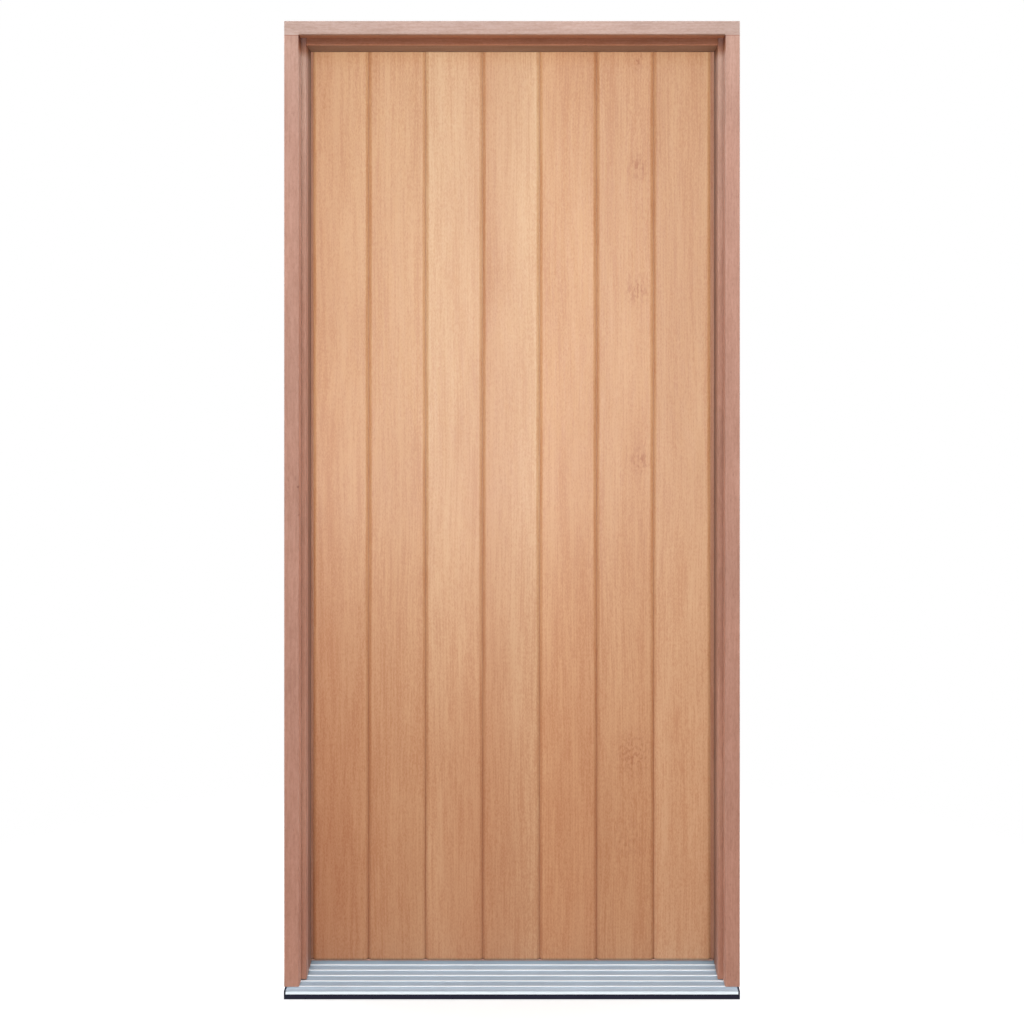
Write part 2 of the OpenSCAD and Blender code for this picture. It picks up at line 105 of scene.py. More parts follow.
def noise(tree, point, scale=1.0, detail=3.0):
    return addNode(tree, "TexNoise", {0: point, "Scale": scale, "Detail": detail}).outputs[0]


def blended(tree, first, second, shares):
    first = calc(tree, "MULTIPLY", first, shares[0])
    second = calc(tree, "MULTIPLY", second, shares[1])
    return calc(tree, "ADD", first, second)


def tint(tree, mode, amount, under, over):
    if not isinstance(over, bpy.types.NodeSocket):
        over = (*over, 1.0)
    mixed = addNode(tree, "Mix", {0: amount, 6: under, 7: over}, data_type="RGBA", blend_type=mode)
    return mixed.outputs[2]


def rescale(tree, value, low, high, newLow, newHigh):
    ranged = addNode(tree, "MapRange", {0: value, 1: low, 2: high, 3: newLow, 4: newHigh})
    return ranged.outputs[0]


def ramp(tree, value, stops):
    made = addNode(tree, "ValToRGB", {0: value})
    elements = made.color_ramp.elements
    while len(elements) < len(stops):
        elements.new(1.0)
    for element, (place, colour) in zip(elements, stops):
        element.position = place
        element.color = (*colour, 1.0)
    return made.outputs[0]


# Tone that changes along one axis: stops of place and colour, between which it runs straight
def toneAlong(tree, place, axis, stops):
    start = stops[0][0]
    end = stops[-1][0]
    share = rescale(tree, axisOf(tree, place, axis), start, end, 0.0, 1.0)
    return ramp(tree, share, [((stop - start) / (end - start), colour) for stop, colour in stops])


# Cloudy pattern drawn out along the grain: features of this width across and this run along
def streaks(tree, point, width, run, detail=3.0):
    return noise(tree, stretched(tree, point, (1 / width, 1 / width, 1 / run)), 1.0, detail)


# A new finish with its node tree, its shader and the place on the object that its patterns read
def newFinish(name):
    finish = bpy.data.materials.new(name)
    finish.use_nodes = True
    tree = finish.node_tree
    return finish, tree, tree.nodes["Principled BSDF"], addNode(tree, "TexCoord").outputs["Object"]


def joinUp(tree, shader, **sockets):
    for name, value in sockets.items():
        tree.links.new(value, shader.inputs[name.replace("_", " ")])


def bumped(tree, height, strength, depth):
    bump = addNode(tree, "Bump", {"Height": height, "Strength": strength, "Distance": depth})
    return bump.outputs[0]


# Sawn wood: bands, veins, growth lines, fibres and flecks drawn out along the grain, and short dark pores
grainAlongX = (0.0, math.pi / 2, 0.0)
grainAlongZ = (0.0, 0.0, 0.0)
ownTone = (1.0, 1.0, 1.0)
plankLook = {
    "mid": (0.548, 0.288, 0.139),
    "dark": (0.900, 0.800, 0.730),
    "light": (1.070, 1.150, 1.210),
    "toneReach": 0.12,
    "layers": {
        "bands": {"width": 0.030, "run": 0.60, "share": 0.26},
        "veins": {"width": 0.0085, "run": 0.20, "share": 0.30},
        "fibres": {"width": 0.0034, "run": 0.060, "share": 0.30},
        "flecks": {"width": 0.0023, "run": 0.0058, "share": 0.48},
    },
    "detail": 2.0,
    "lineGap": 0.0060,
    "lineStray": 3.0,
    "lineStrayScale": 1.6,
    "lineDraw": 0.05,
    "lineShare": 0.05,
    "poreWidth": 0.0008,
    "poreRun": 0.010,
    "poreRange": (0.62, 0.74),
    "poreTone": (0.42, 0.26, 0.18),
    "poreShade": 0.14,
    "cloudWidth": 0.09,
    "cloudRun": 0.30,
    "clouds": ((0.3, (0.955, 0.925, 0.905)), (0.7, (1.030, 1.050, 1.065))),
    "sway": 0.012,
    "swayScale": (7.0, 7.0, 1.7),
    "gloss": (0.46, 0.56),
    "glossRange": (0.35, 0.65),
    "coat": 0.08,
    "coatRough": 0.25,
    "relief": (0.35, 0.00012),
    # Painted shade deep in the V joints, stronger low on the leaf, and darkest at the joint's bottom, the gap
    "seam": (0.89, 0.83, 0.81),
    "jointShadePower": 0.5,
    "jointShadeHeights": (0.65, 1.15),
    "jointShadeShares": (1.0, 0.6),
    "gap": (0.87, 0.84, 0.83),
    "gapShadeRange": (0.86, 0.98),
}
frameLook = {
    **plankLook,
    "mid": (0.420, 0.218, 0.158),
    "dark": (0.905, 0.870, 0.845),
    "light": (1.080, 1.120, 1.150),
    "layers": {
        "bands": {"width": 0.011, "run": 0.11, "share": 0.28},
        "veins": {"width": 0.0050, "run": 0.045, "share": 0.30},
        "fibres": {"width": 0.0034, "run": 0.020, "share": 0.36},
        "flecks": {"width": 0.0036, "run": 0.0070, "share": 0.36},
    },
    "poreShade": 0.34,
    "poreWidth": 0.0012,
    "poreRun": 0.009,
    "cloudWidth": 0.05,
    "cloudRun": 0.16,
    "clouds": ((0.3, (0.940, 0.940, 0.940)), (0.7, (1.060, 1.060, 1.060))),
    "gloss": (0.54, 0.66),
    "coat": 0.0,
}
coreLook = {
    **plankLook,
    "mid": (0.600, 0.420, 0.230),
    "gloss": (0.60, 0.72),
    "coat": 0.0,
}


def woodFinish(name, look, turn, offset, tone=ownTone, smudges=(), fades=(), jointShaded=False):
    finish, tree, shader, place = newFinish(name)
    laid = addNode(tree, "Mapping", {0: place, "Location": offset, "Rotation": turn}).outputs[0]

    # The lines wander sideways a little, slowly along the grain
    slow = stretched(tree, laid, look["swayScale"])
    drift = addNode(tree, "TexNoise", {0: slow, "Scale": 1.0, "Detail": look["detail"]}).outputs[1]
    centred = vector(tree, "SUBTRACT", drift, (0.5, 0.5, 0.5)).outputs[0]
    sway = (look["sway"] * 2, look["sway"] * 2, 0.0)
    grain = vector(tree, "MULTIPLY_ADD", centred, sway, laid).outputs[0]

    # A wave texture's rings are pi / 10 apart at scale 1
    lines = addNode(
        tree, "TexWave",
        {0: stretched(tree, grain, (1.0, 1.0, look["lineDraw"])), "Scale": math.pi / 10 / look["lineGap"],
         "Distortion": look["lineStray"], "Detail": look["detail"], "Detail Scale": look["lineStrayScale"]},
        wave_type="RINGS", rings_direction="Z",
    ).outputs[1]
    figure = calc(tree, "MULTIPLY", lines, look["lineShare"])
    fine = {}
    for layer, form in look["layers"].items():
        fine[layer] = streaks(tree, grain, form["width"], form["run"], look["detail"])
        figure = calc(tree, "MULTIPLY_ADD", fine[layer], form["share"], figure)
    middle = (look["lineShare"] + sum(form["share"] for form in look["layers"].values())) / 2
    reach = look["toneReach"]
    mid = np.array(look["mid"]) * np.array(tone)
    stops = [(middle - reach, mid * look["dark"]), (middle, mid), (middle + reach, mid * look["light"])]
    colour = ramp(tree, figure, stops)

    clouds = streaks(tree, laid, look["cloudWidth"], look["cloudRun"])
    colour = tint(tree, "MULTIPLY", 1.0, colour, ramp(tree, clouds, look["clouds"]))
    specks = streaks(tree, laid, look["poreWidth"], look["poreRun"], look["detail"])
    pores = rescale(tree, specks, *look["poreRange"], 0.0, 1.0)
    shaded = calc(tree, "MULTIPLY", pores, look["poreShade"])
    colour = tint(tree, "MULTIPLY", shaded, colour, look["poreTone"])
    for smudge in smudges:
        colour = smudged(tree, place, colour, smudge)

    # Tones along an axis, some only up to a distance along another, and painted shade in the V joints
    for fade in fades:
        share = 1.0
        if "within" in fade:
            axis, full, none = fade["within"]
            share = rescale(tree, calc(tree, "ABSOLUTE", axisOf(tree, place, axis)), full, none, 1.0, 0.0)
        colour = tint(tree, "MULTIPLY", share, colour, toneAlong(tree, place, fade["axis"], fade["stops"]))
    if jointShaded:
        depth = addNode(tree, "Attribute", attribute_name="seam").outputs["Fac"]
        share = rescale(tree, axisOf(tree, place, "Z"), *look["jointShadeHeights"], *look["jointShadeShares"])
        jointShadow = calc(tree, "MULTIPLY", calc(tree, "POWER", depth, look["jointShadePower"]), share)
        colour = tint(tree, "MULTIPLY", jointShadow, colour, look["seam"])
        bottom = rescale(tree, depth, *look["gapShadeRange"], 0.0, 1.0)
        colour = tint(tree, "MULTIPLY", bottom, colour, look["gap"])

    gloss = rescale(tree, fine["fibres"], *look["glossRange"], *look["gloss"])
    relief = bumped(tree, calc(tree, "SUBTRACT", fine["fibres"], pores), *look["relief"])
    joinUp(tree, shader, Base_Color=colour, Roughness=gloss, Normal=relief)
    shader.inputs["Coat Weight"].default_value = look["coat"]
    shader.inputs["Coat Roughness"].default_value = look["coatRough"]
    return finish


# A faint stain: an oval round its middle, full in its core, fading outwards and broken up into ragged spots
smudgeForm = {"core": 0.15, "spotRange": (0.47, 0.58), "between": 0.10}


def smudged(tree, place, colour, smudge):
    away = vector(tree, "SUBTRACT", place, smudge["middle"]).outputs[0]
    oval = vector(tree, "MULTIPLY", away, tuple(1 / part for part in smudge["reach"])).outputs[0]
    far = vector(tree, "LENGTH", oval).outputs["Value"]
    fade = rescale(tree, far, smudgeForm["core"], 1.0, smudge["depth"], 0.0)
    spots = streaks(tree, place, *smudge["spot"])
    ragged = rescale(tree, spots, *smudgeForm["spotRange"], smudgeForm["between"], 1.0)
    return tint(tree, "MULTIPLY", calc(tree, "MULTIPLY", fade, ragged), colour, smudge["tone"])


# Brushed steel: fine lines, slow stains, and a gloss that follows the lines
metalForm = {
    "stainScale": 9.0,
    "shares": (0.6, 0.4),
    "deep": 0.86,
    "toneRange": (0.36, 0.62),
    "glossRange": (0.3, 0.7),
    "relief": (0.15, 0.0001),
}


def metalFinish(name, colour, gloss, brush, metal):
    finish, tree, shader, place = newFinish(name)
    lines = noise(tree, stretched(tree, place, tuple(1 / part for part in brush)))
    stains = noise(tree, place, metalForm["stainScale"])
    low, high = metalForm["toneRange"]
    deep = [part * metalForm["deep"] for part in colour]
    toned = ramp(tree, blended(tree, lines, stains, metalForm["shares"]), [(low, deep), (high, colour)])
    joinUp(tree, shader, Base_Color=toned, Roughness=rescale(tree, lines, *metalForm["glossRange"], *gloss),
           Normal=bumped(tree, lines, *metalForm["relief"]))
    shader.inputs["Metallic"].default_value = metal
    return finish


# Ribbed sill metal: matte oxide between the ribs, bright on their crests and on the front lip, by wear and by
# painted highlight
deckLook = {
    "matte": (0.232, 0.290, 0.347),
    "patches": ((0.36, 0.90), (0.62, 1.07)),
    "wearAndSheen": (0.74, 0.79, 0.83),
    "lip": (0.83, 0.90, 0.95),
    "shades": (
        (-0.0150, 1.0), (-0.0147, 0.95), (-0.0140, 0.70), (-0.0128, 0.70), (-0.0112, 1.00), (-0.0090, 1.22),
        (-0.0060, 1.35), (-0.0030, 1.33), (-0.0005, 1.08), (0.0010, 1.0), (0.0890, 1.0), (0.0925, 0.97),
        (0.0950, 0.84), (0.0990, 0.50), (0.1050, 0.40),
    ),
    "treadLow": 0.0193,
    "treadSlope": 0.19,
    "crestWearAndSheen": (0.0011, 0.0016),
    "lipWearAndSheen": (-0.01475, -0.01495),
    "brushScale": (6.0, 900.0, 900.0),
    "stainScale": 11.0,
    "stainDetail": 4.0,
    "shares": (0.5, 0.5),
    "gloss": (0.52, 0.46),
    "metal": (0.10, 0.45),
    "relief": (0.12, 0.0001),
}


def deckFinish(name, look):
    finish, tree, shader, place = newFinish(name)
    back = axisOf(tree, place, "Y")
    lines = noise(tree, stretched(tree, place, look["brushScale"]))
    stains = noise(tree, place, look["stainScale"], look["stainDetail"])

    # Ribs are worn and painted bright by their height over the sloping tread, the front lip by its place
    plane = calc(tree, "MULTIPLY_ADD", back, look["treadSlope"], look["treadLow"])
    above = calc(tree, "SUBTRACT", axisOf(tree, place, "Z"), plane)
    crests = rescale(tree, above, *look["crestWearAndSheen"], 0.0, 1.0)
    lip = rescale(tree, back, *look["lipWearAndSheen"], 0.0, 1.0)
    wearAndSheen = calc(tree, "MAXIMUM", crests, lip)
    patchy = blended(tree, lines, stains, look["shares"])
    toned = ramp(tree, patchy, [(stop, np.array(look["matte"]) * share) for stop, share in look["patches"]])
    toned = tint(tree, "MIX", crests, toned, look["wearAndSheen"])
    toned = tint(tree, "MIX", lip, toned, look["lip"])

    # Painted light and shade from front to back: a dark line under the lip, a pale nose, plain ribs, and shade
    # below the leaf
    shades = [(stop, (share, share, share)) for stop, share in look["shades"]]
    toned = tint(tree, "MULTIPLY", 1.0, toned, toneAlong(tree, place, "Y", shades))
    joinUp(tree, shader, Base_Color=toned, Roughness=rescale(tree, wearAndSheen, 0.0, 1.0, *look["gloss"]),
           Metallic=rescale(tree, wearAndSheen, 0.0, 1.0, *look["metal"]),
           Normal=bumped(tree, lines, *look["relief"]))
    return finish


# Moulded or extruded plastic and rubber: one colour with fine grit and slow patches
mouldedForm = {
    "patchScale": 14.0,
    "shares": (0.5, 0.5),
    "paleTimes": 1.35,
    "palePlus": 0.004,
    "toneRange": (0.36, 0.66),
    "glossRange": (0.3, 0.7),
    "relief": (0.3, 0.0002),
}


def mouldedFinish(name, colour, gloss, grit, shine=0.5):
    finish, tree, shader, place = newFinish(name)
    grains = noise(tree, place, 1 / grit)
    patches = noise(tree, place, mouldedForm["patchScale"])
    low, high = mouldedForm["toneRange"]
    pale = [part * mouldedForm["paleTimes"] + mouldedForm["palePlus"] for part in colour]
    toned = ramp(tree, blended(tree, grains, patches, mouldedForm["shares"]), [(low, colour), (high, pale)])
    rough = rescale(tree, grains, *mouldedForm["glossRange"], *gloss)
    relief = bumped(tree, grains, *mouldedForm["relief"])
    joinUp(tree, shader, Base_Color=toned, Roughness=rough, Normal=relief)
    shader.inputs["Specular IOR Level"].default_value = shine
    return finish


# Painted light and shade on the leaf: its wood drifts to a tone of its own towards the foot, and a painted
# shadow darkens its lowest edge
footLook = {
    "edgeShadow": (0.26, 0.38, 0.52),
    "edgeShadowBand": (0.0415, 0.0430),
    "shadowTop": 0.0445,
    "shadowTopShare": 0.98,
    "drift": (0.15, 1.30),
}


def footFade(tone):
    tone = np.array(tone)
    edgeShadow = tone * footLook["edgeShadow"]
    shadowTop = tone * footLook["shadowTopShare"]
    low, top = footLook["edgeShadowBand"]
    full, none = footLook["drift"]
    stops = ((low, edgeShadow), (top, edgeShadow), (footLook["shadowTop"], shadowTop), (full, tone), (none, ownTone))
    return {"axis": "Z", "stops": stops}


# The photo's light and shade on the frame, as tones of its wood
# Jamb by depth: its own tone in front, a pale first wall, a darker step, a second wall dark along the seal
jambDepth = (
    (0.0, ownTone), (0.0025, ownTone), (0.0050, (1.60, 1.60, 1.55)), (0.0235, (1.60, 1.60, 1.55)),
    (0.0250, (0.85, 0.82, 0.78)), (0.0270, (0.85, 0.82, 0.78)), (0.0300, (1.40, 1.50, 1.65)),
    (0.0380, (1.30, 1.36, 1.45)), (0.0500, (0.74, 0.73, 0.73)), (0.0600, (0.66, 0.65, 0.64)),
    (0.0850, (0.66, 0.65, 0.64)), (0.0900, ownTone),
)
# Jamb's rabbet by height: paler low down and near the top, darkest in the corner under the head
jambRabbet = (
    (0.20, ownTone), (0.39, (1.12, 1.20, 1.22)), (0.75, ownTone), (1.45, ownTone), (1.90, (1.10, 1.24, 1.32)),
    (2.036, (1.06, 1.18, 1.24)), (2.0466, (0.67, 0.50, 0.36)), (2.0542, (0.53, 0.35, 0.23)),
    (2.0608, (0.38, 0.20, 0.11)), (2.0706, (0.23, 0.09, 0.03)),
)
# Whole jamb by height: paler towards the top, with a dark joint to the head
jambHeight = (
    (1.85, ownTone), (2.06, (1.02, 1.11, 1.16)), (2.0742, (1.02, 1.11, 1.16)), (2.0752, (0.74, 0.64, 0.58)),
)
# Head by depth: warm behind its front and dark along the seal; by height: a pale low edge
headDepth = (
    (0.0, ownTone), (0.002, ownTone), (0.005, (1.12, 0.87, 0.74)), (0.0275, (1.12, 0.87, 0.74)),
    (0.0310, (0.52, 0.50, 0.48)), (0.0850, (0.52, 0.50, 0.48)), (0.0900, ownTone),
)
headHeight = ((2.0615, (1.35, 1.40, 1.45)), (2.0640, (1.25, 1.28, 1.30)), (2.0700, ownTone))
jambInside = ("X", 0.4605, 0.4630)
headInside = ("Z", 2.0775, 2.0800)
jambFades = (
    {"axis": "Y", "stops": jambDepth, "within": jambInside},
    {"axis": "Z", "stops": jambRabbet, "within": jambInside},
    {"axis": "Z", "stops": jambHeight},
)
headFades = (
    {"axis": "Y", "stops": headDepth, "within": headInside},
    {"axis": "Z", "stops": headHeight},
)
speckLook = {"tone": (0.46, 0.34, 0.27), "spot": (0.05, 0.05)}
jambSpecks = (
    {"middle": (-0.4622, 0.0, 1.1002), "reach": (0.0032, 0.006, 0.0040), "depth": 1.0, **speckLook},
    {"middle": (-0.4600, 0.0, 1.0398), "reach": (0.0032, 0.006, 0.0040), "depth": 0.9, **speckLook},
    {"middle": (-0.4784, 0.0, 1.1326), "reach": (0.007, 0.01, 0.011), "depth": 0.6, **speckLook},
    {"middle": (-0.4676, 0.0, 1.1197), "reach": (0.004, 0.01, 0.007), "depth": 0.5, **speckLook},
    {"middle": (-0.4837, 0.0, 1.0873), "reach": (0.004, 0.01, 0.008), "depth": 0.5, **speckLook},
)
woods = {
    "hingeJambWood": {"look": frameLook, "turn": grainAlongZ, "offset": (0.31, 0.17, 0.4),
                      "smudges": jambSpecks, "fades": jambFades},
    "latchJambWood": {"look": frameLook, "turn": grainAlongZ, "offset": (0.87, 0.26, 1.4),
                      "fades": jambFades},
    # The head's paler, cooler tone is a painted sheen
    "headWood": {"look": frameLook, "turn": grainAlongX, "offset": (0.12, 0.44, 0.9),
                 "tone": (0.89, 1.24, 1.50), "fades": headFades},
    "capWood": {"look": frameLook, "turn": grainAlongX, "offset": (0.52, 0.14, 0.3)},
    # The edge strips' darker, cooler tone is painted shade along the leaf's edges; their lowest edge gets the
    # painted shadow of the foot
    "stripWood": {"look": plankLook, "turn": grainAlongZ, "offset": (0.73, 0.21, 0.1),
                  "tone": (0.66, 0.58, 0.72), "fades": (footFade(ownTone),)},
    "stileWood": {"look": coreLook, "turn": grainAlongZ, "offset": (0.5, 0.3, 0.7)},
    "railWood": {"look": coreLook, "turn": grainAlongX, "offset": (0.2, 0.6, 0.3)},
}
metals = {
    "hingeSteel": {"colour": (0.46, 0.45, 0.43), "gloss": (0.36, 0.50), "brush": (0.0012, 0.0012, 0.03),
                   "metal": 0.9},
    "screwSteel": {"colour": (0.58, 0.57, 0.54), "gloss": (0.26, 0.40), "brush": (0.002, 0.002, 0.002),
                   "metal": 1.0},
}
mouldings = {
    "baseComposite": {"colour": (0.010, 0.010, 0.024), "gloss": (0.50, 0.64), "grit": 0.0012, "shine": 0.2},
    "sealRubber": {"colour": (0.070, 0.046, 0.034), "gloss": (0.60, 0.75), "grit": 0.0008},
    "sweepVinyl": {"colour": (0.045, 0.040, 0.038), "gloss": (0.45, 0.60), "grit": 0.0010},
}
finishes = {name: woodFinish(name, **form) for name, form in woods.items()}
finishes["deckMetal"] = deckFinish("deckMetal", deckLook)
finishes.update({name: metalFinish(name, **form) for name, form in metals.items()})
finishes.update({name: mouldedFinish(name, **form) for name, form in mouldings.items()})
print("door: shared finishes made:", len(finishes))

# How pieces are closed and shaded, and the pieces of every slot and node, for lamps that light only some
meshCut = {"mergeWithin": 2e-6, "flatDeg": 0.3, "curvedDeg": 35.0, "machinedDeg": 30.0}
lampGroups = {}


# Puts a worked-out surface into a mesh, and with it how deep every point lies in a V joint
def addPiece(name, points, faces, finish, slotName, body, stands, seams=None):
    mesh = bpy.data.meshes.new(name)
    mesh.from_pydata(points.reshape(-1, 3).tolist(), [], faces)
    if seams is not None:
        mesh.attributes.new("seam", "FLOAT", "POINT").data.foreach_set("value", seams.ravel())
    settle(name, mesh, finish, slotName, body, stands, meshCut["curvedDeg"])


# Closes poles and seams, turns faces outwards, gives the piece its finish and body, hides the node it stands
# for, and files it under its slot and node for the lamps
def settle(name, mesh, finish, slotName, body, stands, smoothDeg, flatten=False):
    shell = bmesh.new()
    shell.from_mesh(mesh)
    bmesh.ops.remove_doubles(shell, verts=shell.verts, dist=meshCut["mergeWithin"])
    if flatten:
        flat = math.radians(meshCut["flatDeg"])
        bmesh.ops.dissolve_limit(shell, angle_limit=flat, verts=shell.verts, edges=shell.edges)
    bmesh.ops.recalc_face_normals(shell, faces=shell.faces)
    shell.to_mesh(mesh)
    shell.free()
    mesh.materials.clear()
    mesh.materials.append(finish)
    mesh.shade_smooth()
    mesh.set_sharp_from_angle(angle=math.radians(smoothDeg))
    piece = bpy.data.objects.new(name, mesh)
    scene.collection.objects.link(piece)
    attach(piece, body)
    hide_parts(stands)
    for group in {slotName, stands}:
        lampGroups.setdefault(group, []).append(piece)
    return piece


# An eased corner takes up to a share of the shorter side beside it; extra points keep a share of a step clear
profileCut = {"cornerShare": 0.45, "clearShare": 0.3}


# Closed profile with every corner turned into a short parabola that starts and ends its reach away:
# (1 - t) squared of the start, 2 t (1 - t) of the corner and t squared of the end
def eased(corners, reach, steps):
    corners = np.asarray(corners, float)
    back = np.roll(corners, 1, 0) - corners
    ahead = np.roll(corners, -1, 0) - corners
    backLength = np.linalg.norm(back, axis=1)
    aheadLength = np.linalg.norm(ahead, axis=1)
    longest = profileCut["cornerShare"] * np.minimum(backLength, aheadLength)
    short = np.minimum(np.asarray(reach, float), longest)
    start = corners + back * (short / backLength)[:, None]
    end = corners + ahead * (short / aheadLength)[:, None]
    t = np.linspace(0, 1, steps)[None, :, None]
    curve = (1 - t) ** 2 * start[:, None] + 2 * t * (1 - t) * corners[:, None] + t ** 2 * end[:, None]
    return curve.reshape(-1, 2)


# The same closed profile with extra points, so that no two are much further apart along it than the step
def closer(profile, step):
    ring = np.vstack([profile, profile[:1]])
    along = np.concatenate([[0], np.cumsum(np.linalg.norm(np.diff(ring, axis=0), axis=1))])
    extra = np.arange(step, along[-1], step)
    clear = np.abs(extra[:, None] - along[None]).min(1) > step * profileCut["clearShare"]
    places = np.sort(np.concatenate([along[:-1], extra[clear]]))
    return np.stack([np.interp(places, along, ring[:, 0]), np.interp(places, along, ring[:, 1])], 1)


# Quads between neighbouring rows of a grid whose rows are closed rings, with both ends capped if asked
def ringFaces(rows, columns, capped):
    row = np.arange(rows - 1)[:, None] * columns
    here = np.arange(columns)[None]
    nextOne = (here + 1) % columns
    quads = np.stack([row + here, row + nextOne, row + columns + nextOne, row + columns + here], -1)
    caps = [list(range(columns)), list(range((rows - 1) * columns, rows * columns))] if capped else []
    return quads.reshape(-1, 4).tolist() + caps


# Heights along a straight run, with a quarter-round of easing at both ends, and how far each row is pulled in
def easedRun(low, high, ease, steps, gap):
    turn = np.linspace(0, math.pi / 2, steps)
    rise = ease * (1 - np.cos(turn))
    pull = ease * (1 - np.sin(turn))
    inner = np.linspace(low + ease, high - ease, max(2, int((high - low) / gap)))[1:-1]
    heights = np.concatenate([low + rise, inner, (high - rise)[::-1]])
    return heights, np.concatenate([pull, np.zeros(len(inner)), pull[::-1]])


# Tongue-and-groove boards with V joints, on both faces of the leaf. Boards 1 and 7 meet an edge strip at their
# stripSide: past stripEdge of the half width there, the painted shade of the joint drops off with stripPower
boardCut = {
    "tongueLength": 0.0065,
    "tongueThick": 0.0026,
    "tongueDepth": 0.0050,
    "play": 0.00015,
    "grooveLength": 0.0053,
    "chamfer": (0.00625, 0.0035),
    "arris": 0.0010,
    "ease": 0.00025,
    "arcSteps": 5,
    "acrossGap": 0.006,
    "alongGap": 0.045,
    "faceDepth": 0.0004,
    "crown": 0.00018,
    "ripple": 0.00004,
    "rippleRun": (0.083, 0.61),
    "rippleStep": 0.37,
    "endEase": 0.0005,
    "endSteps": 4,
    "stripSide": {1: -1, 7: 1},
    "stripEdge": 0.5,
    "stripPower": 3,
    "grainStep": (0.37, 0.11, 0.83),
    "backShift": 0.19,
}
boardTones = {
    1: (0.985, 0.975, 0.965),
    2: (1.000, 0.990, 0.985),
    3: (1.060, 1.120, 1.180),
    4: (1.030, 1.035, 1.050),
    5: (1.025, 1.010, 0.995),
    6: (0.985, 0.975, 0.970),
    7: (0.965, 0.950, 0.940),
}
# Painted light and shade that each board drifts to towards its foot: lighter or darker low down as the light
# falls
boardFootShading = {
    1: (0.925, 0.855, 0.870),
    2: (0.960, 0.925, 0.960),
    3: (0.970, 0.880, 0.865),
    4: (0.995, 0.960, 0.990),
    5: (1.025, 1.000, 1.040),
    6: (1.030, 1.030, 1.065),
    7: (1.215, 1.340, 1.530),
}
# Painted light across each board: the tones at its left and right edges make one side lighter, in part a
# painted glint
boardSideLight = {
    1: ((0.97, 0.95, 0.95), (1.03, 1.06, 1.06)),
    2: ((0.98, 0.98, 0.97), (1.02, 1.06, 1.06)),
    3: ((1.02, 1.09, 1.13), (0.96, 0.95, 0.94)),
    4: ((0.92, 0.88, 0.85), (1.07, 1.21, 1.30)),
    5: ((1.01, 1.02, 1.01), (0.96, 0.94, 0.92)),
    6: ((1.00, 1.00, 1.00), (1.02, 1.02, 1.02)),
    7: ((1.00, 1.00, 1.00), (1.00, 1.03, 1.04)),
}
stainLook = {"tone": (0.62, 0.36, 0.25), "spot": (0.008, 0.016)}
boardSmudges = {
    6: (
        {"middle": (0.277, 0.089, 2.043), "reach": (0.024, 0.05, 0.036), "depth": 0.55, **stainLook},
        {"middle": (0.277, 0.089, 1.807), "reach": (0.030, 0.05, 0.040), "depth": 0.60, **stainLook},
        {"middle": (0.279, 0.089, 1.533), "reach": (0.034, 0.05, 0.046), "depth": 0.65, **stainLook},
        {"middle": (0.284, 0.089, 1.154), "reach": (0.028, 0.05, 0.040), "depth": 0.65, **stainLook},
        {"middle": (0.268, 0.089, 0.500), "reach": (0.052, 0.05, 0.070), "depth": 0.50, **stainLook,
         "spot": (0.0050, 0.0095)},
        {"middle": (0.261, 0.089, 0.309), "reach": (0.050, 0.05, 0.060), "depth": 0.30, **stainLook},
    ),
}


# Outline across, with depth from the show face: two chamfers, a tongue on the right, a groove on the left
def boardOutline(left, right, thick, cut):
    wide, deep = cut["chamfer"]
    near = cut["tongueDepth"]
    far = near + cut["tongueThick"]
    tip = right + cut["tongueLength"]
    inside = left + cut["grooveLength"]
    corners = [
        (left + wide, 0), (right - wide, 0), (right, deep), (right, near), (tip, near), (tip, far),
        (right, far), (right, thick), (left, thick), (left, far + cut["play"]), (inside, far + cut["play"]),
        (inside, near - cut["play"]), (left, near - cut["play"]), (left, deep),
    ]
    reach = np.full(len(corners), cut["ease"])
    reach[:2] = cut["arris"]
    return closer(eased(corners, reach, cut["arcSteps"]), cut["acrossGap"])


